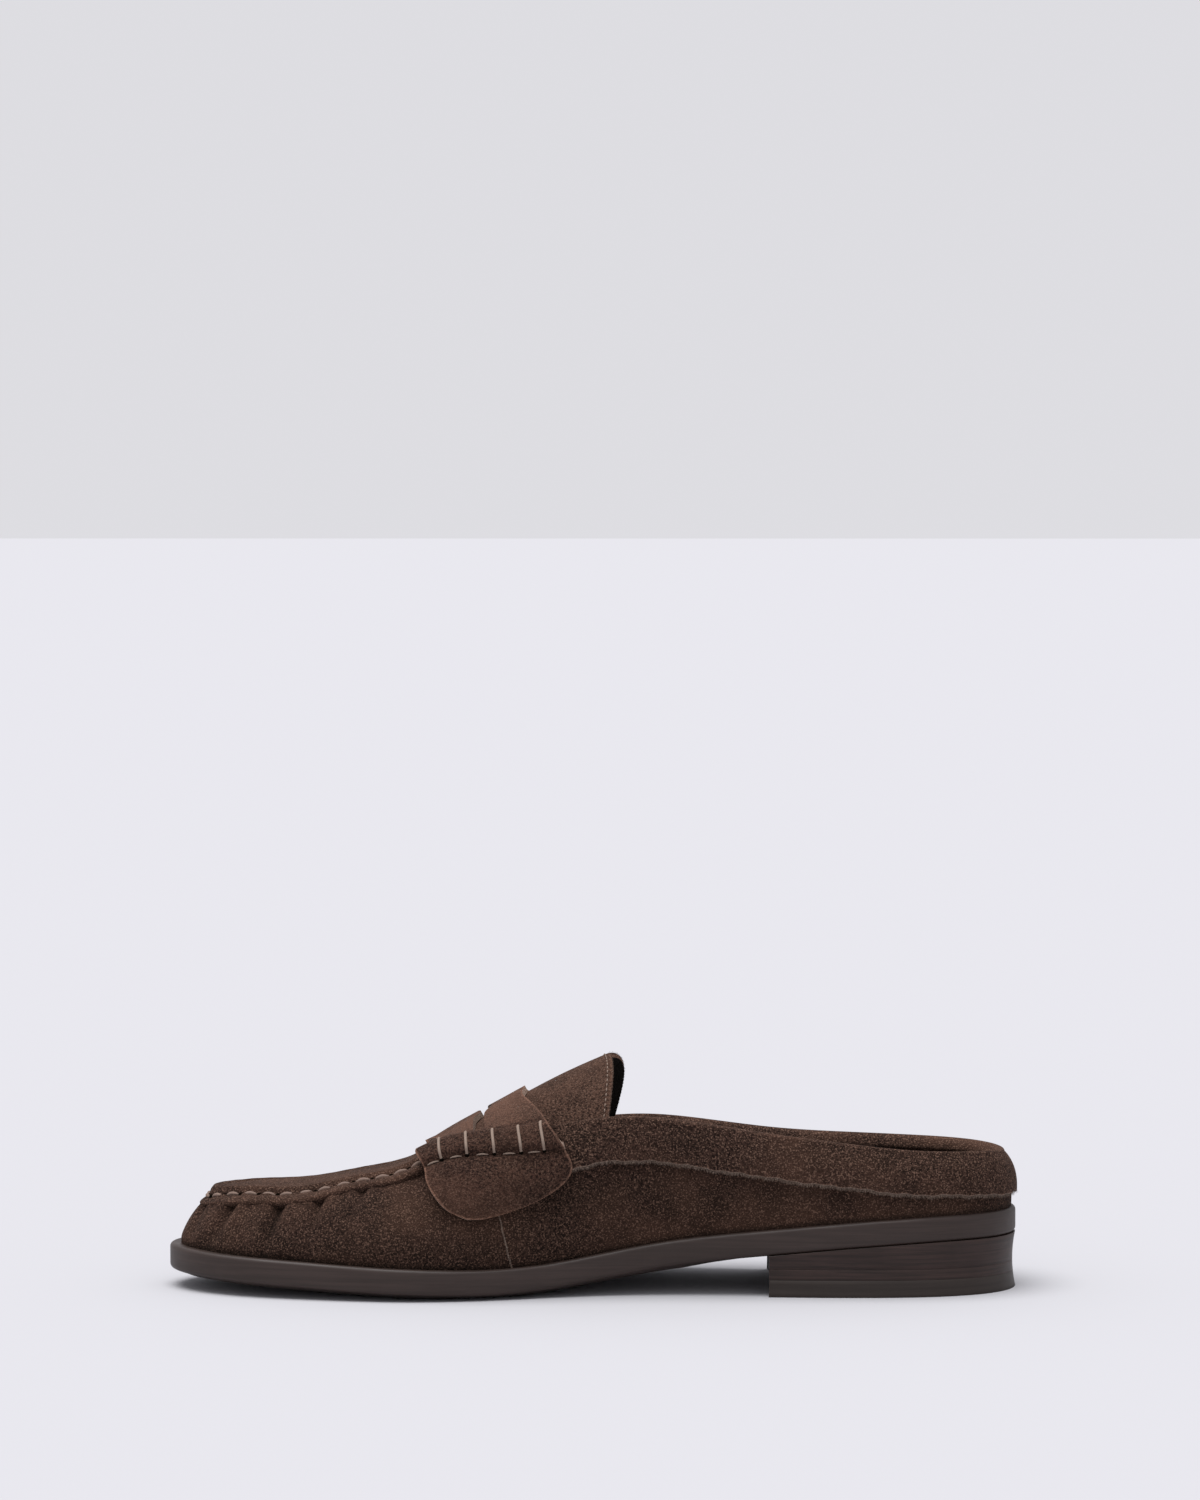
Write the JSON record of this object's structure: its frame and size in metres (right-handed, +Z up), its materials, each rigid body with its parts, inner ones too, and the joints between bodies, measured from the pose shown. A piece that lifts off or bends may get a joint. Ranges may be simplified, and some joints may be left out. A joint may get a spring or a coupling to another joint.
{
  "type": "loafer mule",
  "caption": "Right suede loafer mule with a gathered apron seam, a slotted saddle strap, a low banded back and a thin sole on a low stacked heel.",
  "frame": {"origin": "on the floor under the middle of the shoe's bounding box", "axes": "+Z up, the toe towards -X, the heel towards +X, the medial side towards -Y and the lateral side towards +Y"},
  "size_m": [0.2654, 0.088, 0.0722],
  "materials": {
    "sole": "satin, buffed edge",
    "top_lift": "matte",
    "heel_stack": "satin, polished edge",
    "lining": "matte",
    "suede": "suede nap",
    "suede_apron": "suede nap",
    "suede_strap": "suede nap",
    "suede_band": "suede nap"
  },
  "bodies": {
    "root": {"outsole": "sole", "top_lift": "top_lift", "heel_lift_lower": "heel_stack", "heel_lift_upper": "heel_stack", "insole": "lining", "upper": "suede", "apron_tongue": "suede_apron", "saddle_strap": "suede_strap", "collar_band": "suede_band"}
  },
  "joints": []
}
